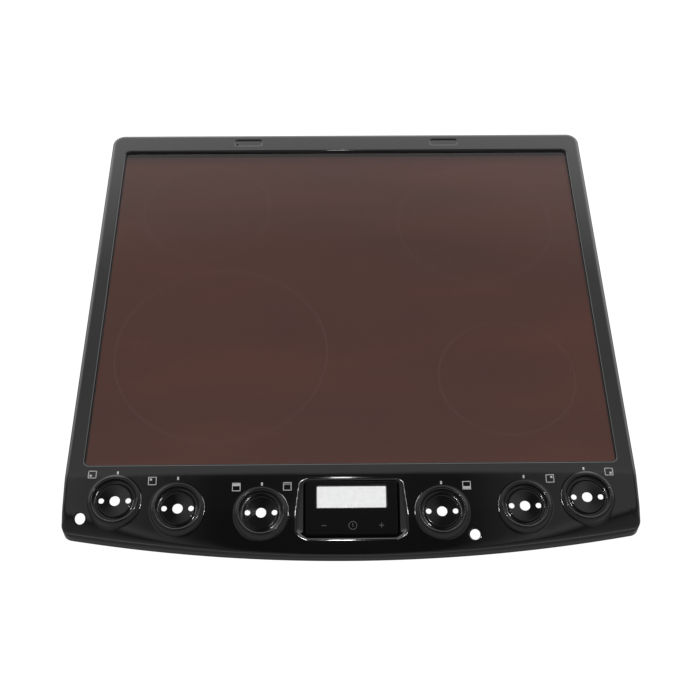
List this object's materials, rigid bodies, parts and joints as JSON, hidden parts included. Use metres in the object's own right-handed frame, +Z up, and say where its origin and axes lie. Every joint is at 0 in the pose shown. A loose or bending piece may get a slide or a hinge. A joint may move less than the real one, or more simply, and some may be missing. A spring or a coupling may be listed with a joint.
{
  "type": "ceramic hob top",
  "caption": "Enamelled steel hob top for a free-standing cooker with a brown glass-ceramic plate and a sloping bow-fronted control fascia with knob dishes and a display recess",
  "frame": {"origin": "centre of the plan outline, on the plane the foot of the skirt stands on", "axes": "+X to the right of a person facing the fascia, +Y to the rear, +Z up"},
  "size_m": [0.6, 0.593, 0.034],
  "materials": {
    "enamel": "gloss vitreous enamel",
    "glass_ceramic": "smooth top, dimpled underside",
    "silicone": "satin",
    "overlay": "gloss with fine printed touch symbols",
    "pane": "clear",
    "gasket": "matte foam",
    "retainer": "matte",
    "zinc_steel": "zinc plated",
    "nut_steel": "zinc plated",
    "brass": "satin"
  },
  "bodies": {
    "root": {"top_frame": "enamel", "ceramic_glass": "glass_ceramic", "glass_seal": "silicone", "glass_bond": "silicone", "display_overlay": "overlay", "display_window": "pane", "display_gasket": "gasket", "window_retainer": "retainer", "earth_tag": "brass", "glass_rail_left": "zinc_steel", "glass_rail_right": "zinc_steel", "glass_rail_rear": "zinc_steel", "glass_rail_front": "zinc_steel", "rear_bracket_left": "zinc_steel", "rear_bracket_right": "zinc_steel", "front_bracket_left": "zinc_steel", "front_bracket_right": "zinc_steel", "nut_01": "nut_steel", "nut_02": "nut_steel", "nut_03": "nut_steel", "nut_04": "nut_steel", "nut_05": "nut_steel", "nut_06": "nut_steel", "nut_07": "nut_steel", "nut_08": "nut_steel", "nut_09": "nut_steel", "nut_10": "nut_steel", "nut_11": "nut_steel", "nut_12": "nut_steel"}
  },
  "joints": []
}
